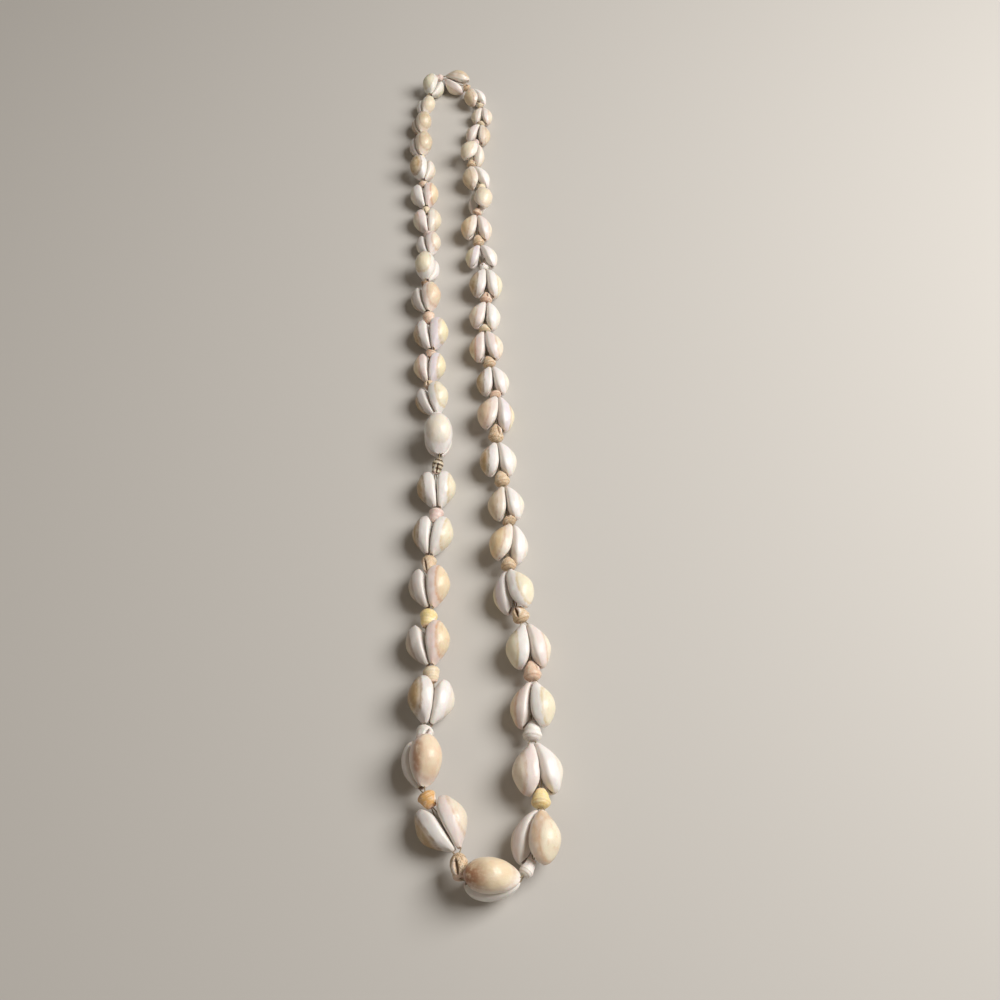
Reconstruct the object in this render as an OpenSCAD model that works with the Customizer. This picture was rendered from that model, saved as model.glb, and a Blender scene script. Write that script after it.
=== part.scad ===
// A long necklace of cowrie shells, lying on a flat surface as one closed loop.
// The cowries are strung in facing pairs, with a small spacer shell between two pairs.
// The origin is the middle of the loop's outline on the surface, and +Z is up.

/* [Cowries] */
// Length of the largest cowrie, from its free end to its tail
cowrie_len = 22.5; // [16:0.5:30]
// Width of the largest cowrie across its base
cowrie_width = 14.2; // [11:0.2:21]
// Height of the largest cowrie from its base to its back
cowrie_height = 10.6; // [7:0.2:13]
// Width of the slit along a cowrie's base
slit_width = 1; // [0.8:0.1:1.8]

/* [Spacer shells] */
// Length of the longest spacer that shows between two pairs
spacer_len = 8; // [5:0.5:12]
// Width of the widest spacer
spacer_width = 8.8; // [7:0.2:11]
// How far a spacer's tip reaches between the cowries ahead, for the largest cowrie
tip_reach = 4; // [1.5:0.1:5]

/* [Thread] */
// Diameter of one strand of the double thread
thread_d = 0.5; // [0.3:0.05:0.7]

/* [Fits] */
// Gap between a pair's tails and the next spacer
bead_gap = 0.5; // [0.4:0.1:2]
// Gap between the two bases of a pair where they come closest
base_gap = 0.2; // [0.2:0.1:1]
// Gap between a spacer's tip and the cowries beside it
tip_gap = 0.4; // [0.2:0.1:0.8]
// Gap between the two strands where they run side by side
strand_gap = 0.18; // [0.1:0.02:0.3]
// Room round the thread in a bore, on the diameter
bore_room = 0.3; // [0.2:0.05:0.6]

/* [Hidden] */

// The string's run on the surface, points chosen by hand: down one side and up the other
run_points = [
    [-18, 231], [-27, 213], [-30, 194], [-30, 167], [-26, 129], [-23, 95],
    [-24, 66], [-20, 31], [-21, 12], [-15, -20], [-15, -61], [-18, -86],
    [-16, -126], [-16, -167], [-17, -196], [-2, -219], [22, -230], [30, -205],
    [27, -176], [28, -149], [25, -122], [18, -96], [19, -72], [12, -25],
    [12, 2], [6, 44], [7, 75], [2, 108], [1, 124], [5, 142],
    [-3, 161], [0, 179], [4, 205], [-4, 221]
];

// One row for each pair and the spacer that leads into its open end:
// cowrie size, spacer length and spacer width, each a share of the largest,
// then in degrees the pair's roll about the string, its turn across the string,
// the lean of each base away from the middle and the way the spacer's mouth faces
size_column = 0;
shown_column = 1;
girth_column = 2;
roll_column = 3;
turn_column = 4;
lean_column = 5;
mouth_column = 6;
pair_rows = [
    [0.64, 0.42, 0.50, -50, 16,  4, 230],
    [0.56, 0.28, 0.47,  45,  4,  4, 140],
    [0.63, 0.28, 0.48,  55,  3,  3, 200],
    [0.70, 0.28, 0.50,  50,  0,  3, 120],
    [0.72, 0.26, 0.50, -42, -3,  3, 250],
    [0.72, 0.28, 0.56,  10,  0,  3, 120],
    [0.71, 0.26, 0.50,   0,  0,  3, 220],
    [0.64, 0.24, 0.58,  30,  2,  3, 150],
    [0.74, 0.30, 0.50, -65,  2,  3, 130],
    [0.77, 0.32, 0.58,  35,  3,  3, 240],
    [0.84, 0.60, 0.72,  15, -3,  3, 110],
    [0.76, 0.30, 0.65,  10,  2,  3, 110],
    [0.79, 0.34, 0.62,  30,  2,  3, 200],
    [0.94, 0.58, 0.75,  87, -1,  3, 120],
    [0.87, 0.80, 0.62,   0,  5,  2, 170],
    [0.89, 0.62, 0.80,   8,  0,  2,   0],
    [0.90, 0.81, 0.80,  20,  1,  2, 215],
    [0.91, 0.85, 0.90,  20,  5,  4,  95],
    [0.95, 0.66, 0.85, -20, -4,  2, 260],
    [0.97, 0.74, 0.85,  58,  6,  2, 150],
    [1.00, 0.77, 0.90,  10,  0,  3, 100],
    [1.00, 0.74, 0.85,  80, 25,  2, 200],
    [1.00, 0.92, 0.66, -38,  6,  3, 100],
    [1.00, 0.76, 0.92,  15,  3,  3,  30],
    [0.93, 0.77, 0.95, -20,  0,  2, 330],
    [0.94, 0.76, 0.90,  10,  0,  2, 230],
    [0.91, 0.78, 0.90, -35, -5,  2, 150],
    [0.87, 0.53, 0.82,  25, -3,  2,  95],
    [0.80, 0.40, 0.75,   5, -3,  2, 180],
    [0.83, 0.72, 0.85,  10, -3,  2, 300],
    [0.86, 0.84, 0.85,  20, -1,  3, 210],
    [0.75, 0.30, 0.66,   5, -2,  3, 100],
    [0.80, 0.48, 0.75,  -5, -3,  3, 250],
    [0.75, 0.27, 0.68,  10, -1,  3, 120],
    [0.81, 0.42, 0.72,  10,  1,  3, 200],
    [0.68, 0.28, 0.55,   8, -3, 12, 160],
    [0.75, 0.47, 0.72,  15, -3,  6, 100],
    [0.72, 0.31, 0.60, -60,  2,  5, 240],
    [0.72, 0.38, 0.54,  20, -3,  3, 180],
    [0.70, 0.34, 0.58,  48,  0,  4, 220],
    [0.64, 0.24, 0.50,   0,  2,  4, 170],
    [0.55, 0.25, 0.48,   0,  2,  4, 130],
    [0.61, 0.29, 0.48,  25, -2,  3, 230],
    [0.65, 0.34, 0.55, -35,  4,  5, 180]
];
pair_count = len(pair_rows);
last_pair = pair_count - 1;
function pair_name(i) = str("cowrie_pair_", i < 9 ? "0" : "", i + 1);

// A cowrie's form: the run goes from -1 at the free end to 1 at the tail
ring_sides = 12;
ring_count = 5;
widest_run = -0.12;
outline_power = 2.1;
free_hump_power = 1.3;
tail_hump_power = 2.1;
free_base_power = 2.3;
tail_base_power = 0.25;
free_end_rise = 0.36;
tail_rise = 0.2;
slit_from = -0.8;
slit_to = 0.36;
bore_from = 0.2;

// The form of a spacer: each place is a share of its body length and of its half width
spacer_outline = [[0.1, 0.72], [0.28, 0.92], [0.48, 1], [0.75, 0.9]];
tip_share = 0.66;
neck_share = 0.77;
slant_loss = 1.3;
bend_share = 0.5;
swing_share = 0.8;
rim = 0.25;
recess_depth = 1;
recess_flare = 1;
tip_clearing = 0.3;
// The mouth cut in a spacer's side, as shares of its length and of its half width
mouth_start = 0.3;
mouth_end = 0.78;
mouth_width = 0.22;
cut_past = 1;

// The bores that the thread needs
strand_offset = (thread_d + strand_gap) / 2;
tail_bore = thread_d + bore_room;
spacer_bore = 2 * strand_offset + thread_d + bore_room;

function wrap(i) = (i + pair_count) % pair_count;
function unit(v) = v / norm(v);
function flat_dir(a) = [cos(a), sin(a), 0];
function turn_z(p, a) = [p.x * cos(a) - p.y * sin(a), p.x * sin(a) + p.y * cos(a), p.z];
function turn_x(p, a) = [p.x, p.y * cos(a) - p.z * sin(a), p.y * sin(a) + p.z * cos(a)];
function across(v, axis) = unit(v - (v * axis) * axis);

// The run as a smooth closed curve, with the length from its start at each step
span_steps = 8;
function run_point(k) = run_points[(k + len(run_points)) % len(run_points)];
function on_span(a, b, c, d, t) =
    0.5 * (2 * b + (c - a) * t + (2 * a - 5 * b + 4 * c - d) * t * t
    + (3 * b - a - 3 * c + d) * t * t * t);
run = [
    for (k = [0 : len(run_points) - 1], s = [0 : span_steps - 1])
        on_span(run_point(k - 1), run_point(k), run_point(k + 1), run_point(k + 2),
            s / span_steps)
];
run_marks = [
    for (k = 0, d = 0; k <= len(run);
        d = d + norm(run[(k + 1) % len(run)] - run[k % len(run)]), k = k + 1) d
];
run_total = run_marks[len(run)];

// Each pair and its spacer take a length of string, and the run is scaled to hold them all
pitches = [
    for (row = pair_rows)
        cowrie_len * row[size_column] + spacer_len * row[shown_column] + bead_gap
];
pitch_marks = [
    for (k = 0, d = pitches[0]; k < pair_count; k = k + 1, d = d + pitches[wrap(k)]) d
];
run_scale = pitch_marks[last_pair] / run_total;

function steps_before(d) = len([for (m = run_marks) if (m <= d) m]) - 1;
function point_at(d) =
    let (
        k = min(steps_before(d), len(run) - 1),
        t = (d - run_marks[k]) / (run_marks[k + 1] - run_marks[k])
    )
    run[k] * (1 - t) + run[(k + 1) % len(run)] * t;
joints = [for (m = pitch_marks) run_scale * point_at(m / run_scale)];

headings = [
    for (i = [0 : last_pair])
        let (v = joints[i] - joints[wrap(i - 1)])
        atan2(v.y, v.x) + pair_rows[i][turn_column]
];

// The form of one cowrie, lying along X with its base down at Y = 0 and its back up
function outline_share(x) =
    let (d = x < widest_run ? (widest_run - x) / (1 + widest_run)
        : (x - widest_run) / (1 - widest_run))
    sqrt(max(0, 1 - pow(d, outline_power)));
function rise(x) = free_end_rise + (tail_rise - free_end_rise) * (x + 1) / 2;
function hump_power(x) = tail_hump_power + (free_hump_power - tail_hump_power) * max(-x, 0);
function base_power(x) = tail_base_power + (free_base_power - tail_base_power) * max(-x, 0);
function base_rise(x) = rise(x) * (1 - pow(outline_share(x), base_power(x)));
function cowrie_point(x, a) =
    let (
        share = outline_share(x),
        low = rise(x) - base_rise(x),
        high = (1 - rise(x)) * pow(share, hump_power(x))
    )
    [
        x * cowrie_len / 2,
        cowrie_height * (rise(x) + (sin(a) > 0 ? high * sin(a) : -low * sqrt(-sin(a)))),
        cos(a) * share * cowrie_width / 2
    ];
ring_runs = [for (k = [1 : ring_count]) -cos(180 * k / (ring_count + 1))];
cowrie_form = [
    cowrie_point(-1, 90),
    for (x = ring_runs, s = [0 : ring_sides - 1]) cowrie_point(x, 360 * s / ring_sides),
    cowrie_point(1, 90)
];
last_point = ring_count * ring_sides + 1;
function ring_corner(k, s) = 1 + k * ring_sides + s % ring_sides;
cowrie_faces = [
    for (s = [0 : ring_sides - 1]) [0, ring_corner(0, s + 1), ring_corner(0, s)],
    for (k = [0 : ring_count - 2], s = [0 : ring_sides - 1])
        [ring_corner(k, s), ring_corner(k + 1, s + 1), ring_corner(k + 1, s)],
    for (k = [0 : ring_count - 2], s = [0 : ring_sides - 1])
        [ring_corner(k, s), ring_corner(k, s + 1), ring_corner(k + 1, s + 1)],
    for (s = [0 : ring_sides - 1])
        [last_point, ring_corner(ring_count - 1, s), ring_corner(ring_count - 1, s + 1)]
];

// Each pair leans apart from its tails, rests on the surface and ends at its joint
function sizes(i) = pair_rows[i][size_column];
function leaned(p, i) = turn_z(p, -pair_rows[i][lean_column]);
seats = [
    for (i = [0 : last_pair])
        base_gap / 2 - min([for (p = cowrie_form) leaned(sizes(i) * p, i).y])
];
function in_pair(p, i, side) =
    turn_x(leaned(p, i) + [0, seats[i], 0], pair_rows[i][roll_column] + side);
tail_ends = [for (i = [0 : last_pair]) max([for (p = cowrie_form) leaned(sizes(i) * p, i).x])];
free_ends = [for (i = [0 : last_pair]) min([for (p = cowrie_form) leaned(sizes(i) * p, i).x])];
heights = [
    for (i = [0 : last_pair])
        -min([for (p = cowrie_form, side = [0, 180]) in_pair(sizes(i) * p, i, side).z])
];
raw_centres = [
    for (i = [0 : last_pair])
        [joints[i].x, joints[i].y, heights[i]]
        - (bead_gap / 2 + tail_ends[i]) * flat_dir(headings[i])
];
reached = [
    for (i = [0 : last_pair], side = [0, 180], p = cowrie_form)
        turn_z(in_pair(sizes(i) * p, i, side), headings[i]) + raw_centres[i]
];
middle = [
    (min([for (p = reached) p.x]) + max([for (p = reached) p.x])) / 2,
    (min([for (p = reached) p.y]) + max([for (p = reached) p.y])) / 2,
    0
];
centres = [for (c = raw_centres) c - middle];
function on_pair(p, i, side) = turn_z(in_pair(p, i, side), headings[i]) + centres[i];
normals = [
    for (i = [0 : last_pair])
        turn_z(turn_x([0, 1, 0], pair_rows[i][roll_column]), headings[i])
];

// Each spacer runs from the tails behind it to a point between the cowries ahead.
// It starts farther from tails that it leaves at a bend, and reaches less far at a slant.
function tail_joint(i) = centres[i] + (bead_gap / 2 + tail_ends[i]) * flat_dir(headings[i]);
function slant(v, i) = norm(cross(unit(v), flat_dir(headings[i])));
radii = [for (row = pair_rows) spacer_width * row[girth_column] / 2];
open_ends = [for (i = [0 : last_pair]) centres[i] + free_ends[i] * flat_dir(headings[i])];
reaches = [
    for (i = [0 : last_pair])
        tip_reach * sizes(i) * (1 - slant_loss * slant(open_ends[i] - tail_joint(wrap(i - 1)), i))
];
tips = [for (i = [0 : last_pair]) open_ends[i] + reaches[i] * flat_dir(headings[i])];
spacer_dirs = [for (i = [0 : last_pair]) unit(tips[i] - tail_joint(wrap(i - 1)))];
start_gaps = [
    for (i = [0 : last_pair])
        bead_gap / 2 + bend_share * radii[i] * slant(spacer_dirs[i], wrap(i - 1))
];
spacer_starts = [
    for (i = [0 : last_pair]) tail_joint(wrap(i - 1)) + spacer_dirs[i] * start_gaps[i]
];
spacer_lens = [for (i = [0 : last_pair]) norm(tips[i] - spacer_starts[i])];

// Half the width of the open end between two cowries, at a place along the pair
function half_opening(i, x) =
    let (lean = pair_rows[i][lean_column], run = 2 * x / (cowrie_len * sizes(i)))
    seats[i] - x * sin(lean) + cowrie_height * sizes(i) * base_rise(max(run, -1)) * cos(lean);
tip_radii = [
    for (i = [0 : last_pair])
        let (
            wanted = radii[i] * tip_share,
            swing = wanted * slant(spacer_dirs[i], i),
            deepest = free_ends[i] + max(reaches[i], 0) + swing * swing_share
        )
        min(half_opening(i, deepest) - tip_gap, wanted)
];
neck_radii = [
    for (i = [0 : last_pair])
        let (aside = max(reaches[i], 0) * slant(spacer_dirs[i], i))
        min(half_opening(i, free_ends[i]) - tip_gap - aside, radii[i] * neck_share)
];

// The thread's corners for one strand, from a spacer's bore to the pair's tail holes
function strand_corners(i, hand) =
    let (
        d = spacer_dirs[i],
        back = across(normals[wrap(i - 1)], d) * strand_offset * hand,
        ahead = across(normals[i], d) * strand_offset * hand,
        halfway = across(back + ahead, d) * strand_offset,
        side = hand > 0 ? 0 : 180,
        half_len = cowrie_len * sizes(i) / 2,
        bore_y = cowrie_height * sizes(i) * rise(1)
    )
    [
        spacer_starts[i] + d * recess_depth + back,
        spacer_starts[i] + d * spacer_lens[i] / 2 + halfway,
        tips[i] + d * tip_clearing + ahead,
        on_pair([bore_from * half_len, bore_y, 0], i, side),
        on_pair([half_len, bore_y, 0], i, side)
    ];
thread_sides = 5;
function strand_path(hand) = [for (i = [0 : last_pair]) each strand_corners(i, hand)];

module strand(path) {
    n = len(path);
    points = [
        for (k = [0 : n - 1])
            let (
                along = unit(unit(path[(k + 1) % n] - path[k]) + unit(path[k] - path[(k + n - 1) % n])),
                left = unit(cross([0, 0, 1], along)),
                up = cross(along, left)
            )
            for (s = [0 : thread_sides - 1])
                path[k] + thread_d / 2 * (cos(360 * s / thread_sides) * left
                    + sin(360 * s / thread_sides) * up)
    ];
    faces = [
        for (k = [0 : n - 1], s = [0 : thread_sides - 1])
            let (
                a = k * thread_sides,
                b = ((k + 1) % n) * thread_sides,
                t = (s + 1) % thread_sides
            )
            each [[a + s, b + s, b + t], [a + s, b + t, a + t]]
    ];
    polyhedron(points, faces);
}

// One cowrie with the slit along its base and the thread's bore through its tail
module cowrie(i) {
    size = sizes(i);
    half_len = cowrie_len * size / 2;
    bore_y = cowrie_height * size * rise(1);
    difference() {
        polyhedron(size * cowrie_form, cowrie_faces);
        translate([slit_from * half_len, -cut_past, -slit_width / 2])
            cube([(slit_to - slit_from) * half_len, bore_y + tail_bore / 2 + cut_past, slit_width]);
        translate([bore_from * half_len, bore_y, 0])
            rotate([0, 90, 0])
                cylinder(h = half_len, d = tail_bore, $fn = 24);
    }
}

// Two cowries with their bases facing, tails together and free ends apart
module cowrie_pair(i) {
    color("ivory")
        translate(centres[i])
            rotate([0, 0, headings[i]])
                for (side = [0, 180])
                    rotate([pair_rows[i][roll_column] + side, 0, 0])
                        translate([0, seats[i], 0])
                            rotate([0, 0, -pair_rows[i][lean_column]])
                                cowrie(i);
}

// A small snail shell, drilled through its length, with a mouth in its side
module spacer(i) {
    length = spacer_lens[i];
    body = length - max(reaches[i], 0);
    radius = radii[i];
    end_radius = spacer_bore / 2 + recess_flare + rim;
    difference() {
        rotate_extrude($fn = 32)
            polygon([
                [0, 0],
                [end_radius, 0],
                for (p = spacer_outline) [max(p[1] * radius, end_radius), p[0] * body],
                [neck_radii[i], body],
                [tip_radii[i], length],
                [0, length]
            ]);
        translate([0, 0, -cut_past])
            cylinder(h = length + 2 * cut_past, d = spacer_bore, $fn = 24);
        cylinder(h = recess_depth, d1 = spacer_bore + 2 * recess_flare, d2 = spacer_bore, $fn = 24);
        rotate([0, 0, pair_rows[i][mouth_column]])
            translate([radius, 0, mouth_start * length])
                cylinder(h = (mouth_end - mouth_start) * length, r = mouth_width * radius, $fn = 16);
    }
}

// The small shells between the pairs, each loose on the thread
module spacer_shells() {
    color("burlywood")
        for (i = [0 : last_pair])
            translate(spacer_starts[i])
                rotate([0, acos(spacer_dirs[i].z), atan2(spacer_dirs[i].y, spacer_dirs[i].x)])
                    spacer(i);
}

// Two strands, side by side in the spacers and one to each cowrie of a pair
module thread() {
    color("tan") {
        strand(strand_path(1));
        strand(strand_path(-1));
    }
}

for (i = [0 : last_pair])
    cowrie_pair(i);
spacer_shells();
thread();
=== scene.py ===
import math
import random

import bmesh
import bpy
from mathutils import Matrix, Vector, noise


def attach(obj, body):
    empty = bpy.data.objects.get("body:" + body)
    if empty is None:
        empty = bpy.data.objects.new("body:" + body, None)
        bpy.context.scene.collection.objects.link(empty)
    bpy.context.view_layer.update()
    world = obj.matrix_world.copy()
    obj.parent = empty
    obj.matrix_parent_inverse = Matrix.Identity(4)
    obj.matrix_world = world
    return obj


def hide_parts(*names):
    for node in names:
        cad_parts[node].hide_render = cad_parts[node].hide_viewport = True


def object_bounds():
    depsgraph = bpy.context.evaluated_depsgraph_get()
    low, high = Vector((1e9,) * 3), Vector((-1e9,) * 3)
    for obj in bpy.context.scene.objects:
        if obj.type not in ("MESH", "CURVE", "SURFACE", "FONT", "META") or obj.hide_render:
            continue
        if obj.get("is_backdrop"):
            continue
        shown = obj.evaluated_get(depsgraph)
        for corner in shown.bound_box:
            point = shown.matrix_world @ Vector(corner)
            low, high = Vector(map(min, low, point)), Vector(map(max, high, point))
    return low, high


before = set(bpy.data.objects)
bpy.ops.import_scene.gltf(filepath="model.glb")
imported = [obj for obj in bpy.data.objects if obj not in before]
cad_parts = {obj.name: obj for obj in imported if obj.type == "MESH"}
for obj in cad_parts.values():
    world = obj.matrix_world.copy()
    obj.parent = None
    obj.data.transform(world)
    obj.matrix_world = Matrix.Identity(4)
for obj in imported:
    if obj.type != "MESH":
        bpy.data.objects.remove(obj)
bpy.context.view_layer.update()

# The necklace is worked out in millimetres, and each piece is brought to metres in its mesh
mm = 0.001
pole = 0.9999  # past this share of a sphere's half height, a vertex is its pole


def paint(red, green, blue, strength=1.0):
    # a colour as the eye reads it, from 0 to 255, turned into light for the shaders
    def light(v):
        v = v / 255
        return v / 12.92 if v <= 0.04045 else ((v + 0.055) / 1.055) ** 2.4
    return (light(red), light(green), light(blue), strength)


def clamp(v, low=0.0, high=1.0):
    return max(low, min(high, v))


def smooth(low, high, v):
    # 0 below low, 1 above high, and a soft step between
    t = clamp((v - low) / (high - low))
    return t * t * (3 - 2 * t)


def bump(v, width):
    # 1 where v is 0, falling softly to 0 at the width
    return (1 - clamp(abs(v) / width) ** 2) ** 2


def halfTurn(degrees):
    # the same angle, from -180 to 180
    return degrees - 360 if degrees > 180 else degrees


def crowd(degrees, power):
    # brings the rings of a sphere's vertices closer together near angle 0
    return 180 * math.copysign(abs(degrees / 180) ** power, degrees)


# The camera stands at the photograph's angle
camera = {"place": (0.0126, -0.3635, 0.510), "down": 58.5, "lens": 45.54, "nearest": 0.01}

cam = bpy.data.objects.new("camera", bpy.data.cameras.new("camera"))
bpy.context.scene.collection.objects.link(cam)
cam.location = camera["place"]
cam.rotation_euler = (math.radians(90 - camera["down"]), 0, 0)
cam.data.lens = camera["lens"]
cam.data.clip_start = camera["nearest"]
bpy.context.scene.camera = cam

# The string: its gaps, its thread, and its run on the table, down one side and up the other
string = {
    "bead gap": 0.5, "base gap": 0.2, "tip gap": 0.4, "strand gap": 0.18,
    "thread": 0.5, "span steps": 8,
}
runPoints = [
    (-18, 231), (-27, 213), (-30, 194), (-30, 167), (-26, 129), (-23, 95),
    (-24, 66), (-20, 31), (-21, 12), (-15, -20), (-15, -61), (-18, -86),
    (-16, -126), (-16, -167), (-17, -196), (-2, -219), (22, -230), (30, -205),
    (27, -176), (28, -149), (25, -122), (18, -96), (19, -72), (12, -25),
    (12, 2), (6, 44), (7, 75), (2, 108), (1, 124), (5, 142),
    (-3, 161), (0, 179), (4, 205), (-4, 221),
]

# A row for each pair and the spacer that leads into its open end. Sizes are shares of
# the largest, angles are in degrees, and the last three name the finishes below.
pairColumns = (
    "size", "shown", "girth", "roll", "turn", "lean", "mouth", "first", "second", "spacer",
)
# The darker olive and ash tones go mostly to the shells on the left of their pairs, partly as painted
# shade on the side away from the key lamp
pairRows = [
    (0.64, 0.42, 0.50, -50, 16, 4, 230, "mint", "mint", "pink"),
    (0.56, 0.28, 0.47, 45, 4, 4, 140, "cream", "porcelain", "tan"),
    (0.63, 0.28, 0.48, 55, 3, 3, 200, "sand", "umber", "cream"),
    (0.70, 0.28, 0.50, 50, 0, 3, 120, "sand", "shaded ash", "tan"),
    (0.72, 0.26, 0.50, -42, -3, 3, 250, "cream", "shaded olive", "cream"),
    (0.72, 0.28, 0.56, 10, 0, 3, 120, "rose", "porcelain", "peach"),
    (0.71, 0.26, 0.50, 0, 0, 3, 220, "cream", "blush", "cream"),
    (0.64, 0.24, 0.58, 30, 2, 3, 150, "blush", "porcelain", "pink"),
    (0.74, 0.30, 0.50, -65, 2, 3, 130, "porcelain", "butter", "cream"),
    (0.77, 0.32, 0.58, 35, 3, 3, 240, "peach", "shaded ash", "brown"),
    (0.84, 0.60, 0.72, 15, -3, 3, 110, "lilac", "shaded olive", "peach"),
    (0.76, 0.30, 0.65, 10, 2, 3, 110, "lilac", "rose", "peach"),
    (0.79, 0.34, 0.62, 30, 2, 3, 200, "butter", "shaded olive", "tan"),
    (0.94, 0.58, 0.75, 87, -1, 3, 120, "porcelain", "shaded ash", "chalk"),
    (0.87, 0.80, 0.62, 0, 5, 2, 170, "butter", "shaded olive", "striped"),
    (0.89, 0.62, 0.80, 8, 0, 2, 0, "butter", "shaded olive", "pink"),
    (0.90, 0.81, 0.80, 20, 1, 2, 215, "rose", "shaded ash", "tan"),
    (0.91, 0.85, 0.90, 20, 5, 4, 95, "rose", "shaded ash", "lemon"),
    (0.95, 0.66, 0.85, -20, -4, 2, 260, "porcelain", "shaded olive", "cream"),
    (0.97, 0.74, 0.85, 58, 6, 2, 150, "apricot", "shaded ash", "chalk"),
    (1.00, 0.77, 0.90, 10, 0, 3, 100, "blush", "shaded olive", "amber"),
    (1.00, 0.74, 0.85, 80, 25, 2, 200, "burnt", "porcelain", "speckled"),
    (1.00, 0.92, 0.66, -38, 6, 3, 100, "blush", "toffee", "chalk"),
    (1.00, 0.76, 0.92, 15, 3, 3, 30, "blush", "porcelain", "lemon"),
    (0.93, 0.77, 0.95, -20, 0, 2, 330, "rose", "butter", "chalk"),
    (0.94, 0.76, 0.90, 10, 0, 2, 230, "butter", "blush", "peach"),
    (0.91, 0.78, 0.90, -35, -5, 2, 150, "lilac", "butter", "tan"),
    (0.87, 0.53, 0.82, 25, -3, 2, 95, "honey", "porcelain", "tan"),
    (0.80, 0.40, 0.75, 5, -3, 2, 180, "sand", "porcelain", "speckled"),
    (0.83, 0.72, 0.85, 10, -3, 2, 300, "shaded olive", "porcelain", "tan"),
    (0.86, 0.84, 0.85, 20, -1, 3, 210, "peach", "lilac", "speckled"),
    (0.75, 0.30, 0.66, 5, -2, 3, 100, "shaded olive", "porcelain", "peach"),
    (0.80, 0.48, 0.75, -5, -3, 3, 250, "rose", "blush", "tan"),
    (0.75, 0.27, 0.68, 10, -1, 3, 120, "blush", "porcelain", "cream"),
    (0.81, 0.42, 0.72, 10, 1, 3, 200, "shaded olive", "butter", "peach"),
    (0.68, 0.28, 0.55, 8, -3, 12, 160, "lilac", "porcelain", "chalk"),
    (0.75, 0.47, 0.72, 15, -3, 6, 100, "honey", "blush", "tan"),
    (0.72, 0.31, 0.60, -60, 2, 5, 240, "shaded ash", "cream", "peach"),
    (0.72, 0.38, 0.54, 20, -3, 3, 180, "sand", "porcelain", "cream"),
    (0.70, 0.34, 0.58, 48, 0, 4, 220, "cream", "cream", "tan"),
    (0.64, 0.24, 0.50, 0, 2, 4, 170, "blush", "sand", "pink"),
    (0.55, 0.25, 0.48, 0, 2, 4, 130, "cream", "blush", "cream"),
    (0.61, 0.29, 0.48, 25, -2, 3, 230, "sand", "porcelain", "cream"),
    (0.65, 0.34, 0.55, -35, 4, 5, 180, "blush", "sand", "tan"),
]
pairs = [dict(zip(pairColumns, row)) for row in pairRows]

# A cowrie's form, in millimetres for the largest. Its run goes from -1 at the free end to 1
# at the tail. Two numbers together are where a soft step starts and is full, or for a change,
# the least and the most of what is drawn for each shell.
cowrie = {
    "length": 22.5, "width": 14.2, "height": 10.6,
    "widest": -0.12, "outline": 2.1,  # where on the run, and the power of the outline
    "free rise": 0.36, "tail rise": 0.2,  # how high its widest line lies, as a share
    "free hump": 1.3, "tail hump": 2.1,  # how the solid's back falls to its ends
    "free base": 2.3, "tail base": 0.25,  # how the base rises to its ends
    "free back": 0.85, "tail back": 2.5,  # how the finished back falls to its ends
    "bore from": 0.2, "hole depth": 1.8,
    "around": 48, "along": 48, "base crowding": 1.5, "base edge": 3.2,
    "tail taper": 0.08, "taper power": 1.6, "taper change": (0.7, 1.3), "plump change": (0.97, 1.0),
    "slit": 0.43, "slit depth": 1.5, "slit sides": (0.7, 1.3), "slit focus": 0.5,
    "slit bend": 0.7, "bend level": 0.3,
    "teeth": (1.34, 0.84),  # the slit's width between two teeth and at a tooth, as shares
    "canal": 0.95, "canal along": (0.74, 0.95), "canal shallower": 0.35,
    "canal out": (0.93, 0.985), "canal up": (0.2, 0.6),
    "crease": 0.04, "crease width": 0.09, "ring change": (-0.04, 0.04),
    "lumps": 0.17, "lump size": 3.6, "lump level": 0.3, "lump drift": (7.3, 3.1, 5.7),
    "base tone": (0.05, -0.35),
}

# A spacer's form, in millimetres for the largest, and then as shares of its body length
# and of its half width. Two numbers together are where a soft step starts and is full.
spacer = {
    "length": 8, "width": 8.8, "tip reach": 4,
    "tip share": 0.66, "neck share": 0.77, "slant loss": 1.3,
    "bend share": 0.5, "swing share": 0.8, "recess": 1, "tip clearing": 0.3,
    "widest": 0.46, "dome": 2.0, "shoulder": (0.76, 0.84), "last neck": 0.93,
    "tip rounding": 0.9, "tip rounded from": 0.96,
    "around": 44, "along": 44, "mouth crowding": 1.4,
    "mouth from": 0.27, "mouth to": 0.97, "mouth width": 15, "mouth depth": 0.34,
    "mouth belly": 1.4, "mouth fullness": 0.6, "mouth least": 0.01,
    "mouth sides": (0.5, 1.1), "mouth ends": (0.0, 0.5),
    "lip": 0.1, "lip place": 2.1, "lip width": 1.3,
    "whorls": 2.6, "whorl power": 0.7,
    "suture": 0.055, "suture width": 0.16, "suture top": (0, 0.08), "suture end": (0.75, 1.05),
    "lumps": 0.09, "lump size": 2.2, "lump drift": (3.7, 1.9, 1),
    "pattern across": 1.2, "pattern along": 2.4, "line slant": 0.12,
    "hole depth": 1.1,
}


def turned(v, degrees, axis):
    return Matrix.Rotation(math.radians(degrees), 3, axis) @ v


def ahead(degrees):
    return turned(Vector((1, 0, 0)), degrees, "Z")


def outlineShare(run):
    # half the width of a cowrie at a place on its run, as a share of the widest
    widest = cowrie["widest"]
    away = (widest - run) / (1 + widest) if run < widest else (run - widest) / (1 - widest)
    return math.sqrt(max(0.0, 1 - away ** cowrie["outline"]))


def riseAt(run):
    return cowrie["free rise"] + (cowrie["tail rise"] - cowrie["free rise"]) * (run + 1) / 2


def endPower(name, run):
    # a power that changes from the middle of a cowrie to its free end
    return cowrie["tail " + name] + (cowrie["free " + name] - cowrie["tail " + name]) * max(-run, 0)


def baseRise(run):
    return riseAt(run) * (1 - outlineShare(run) ** endPower("base", run))


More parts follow.
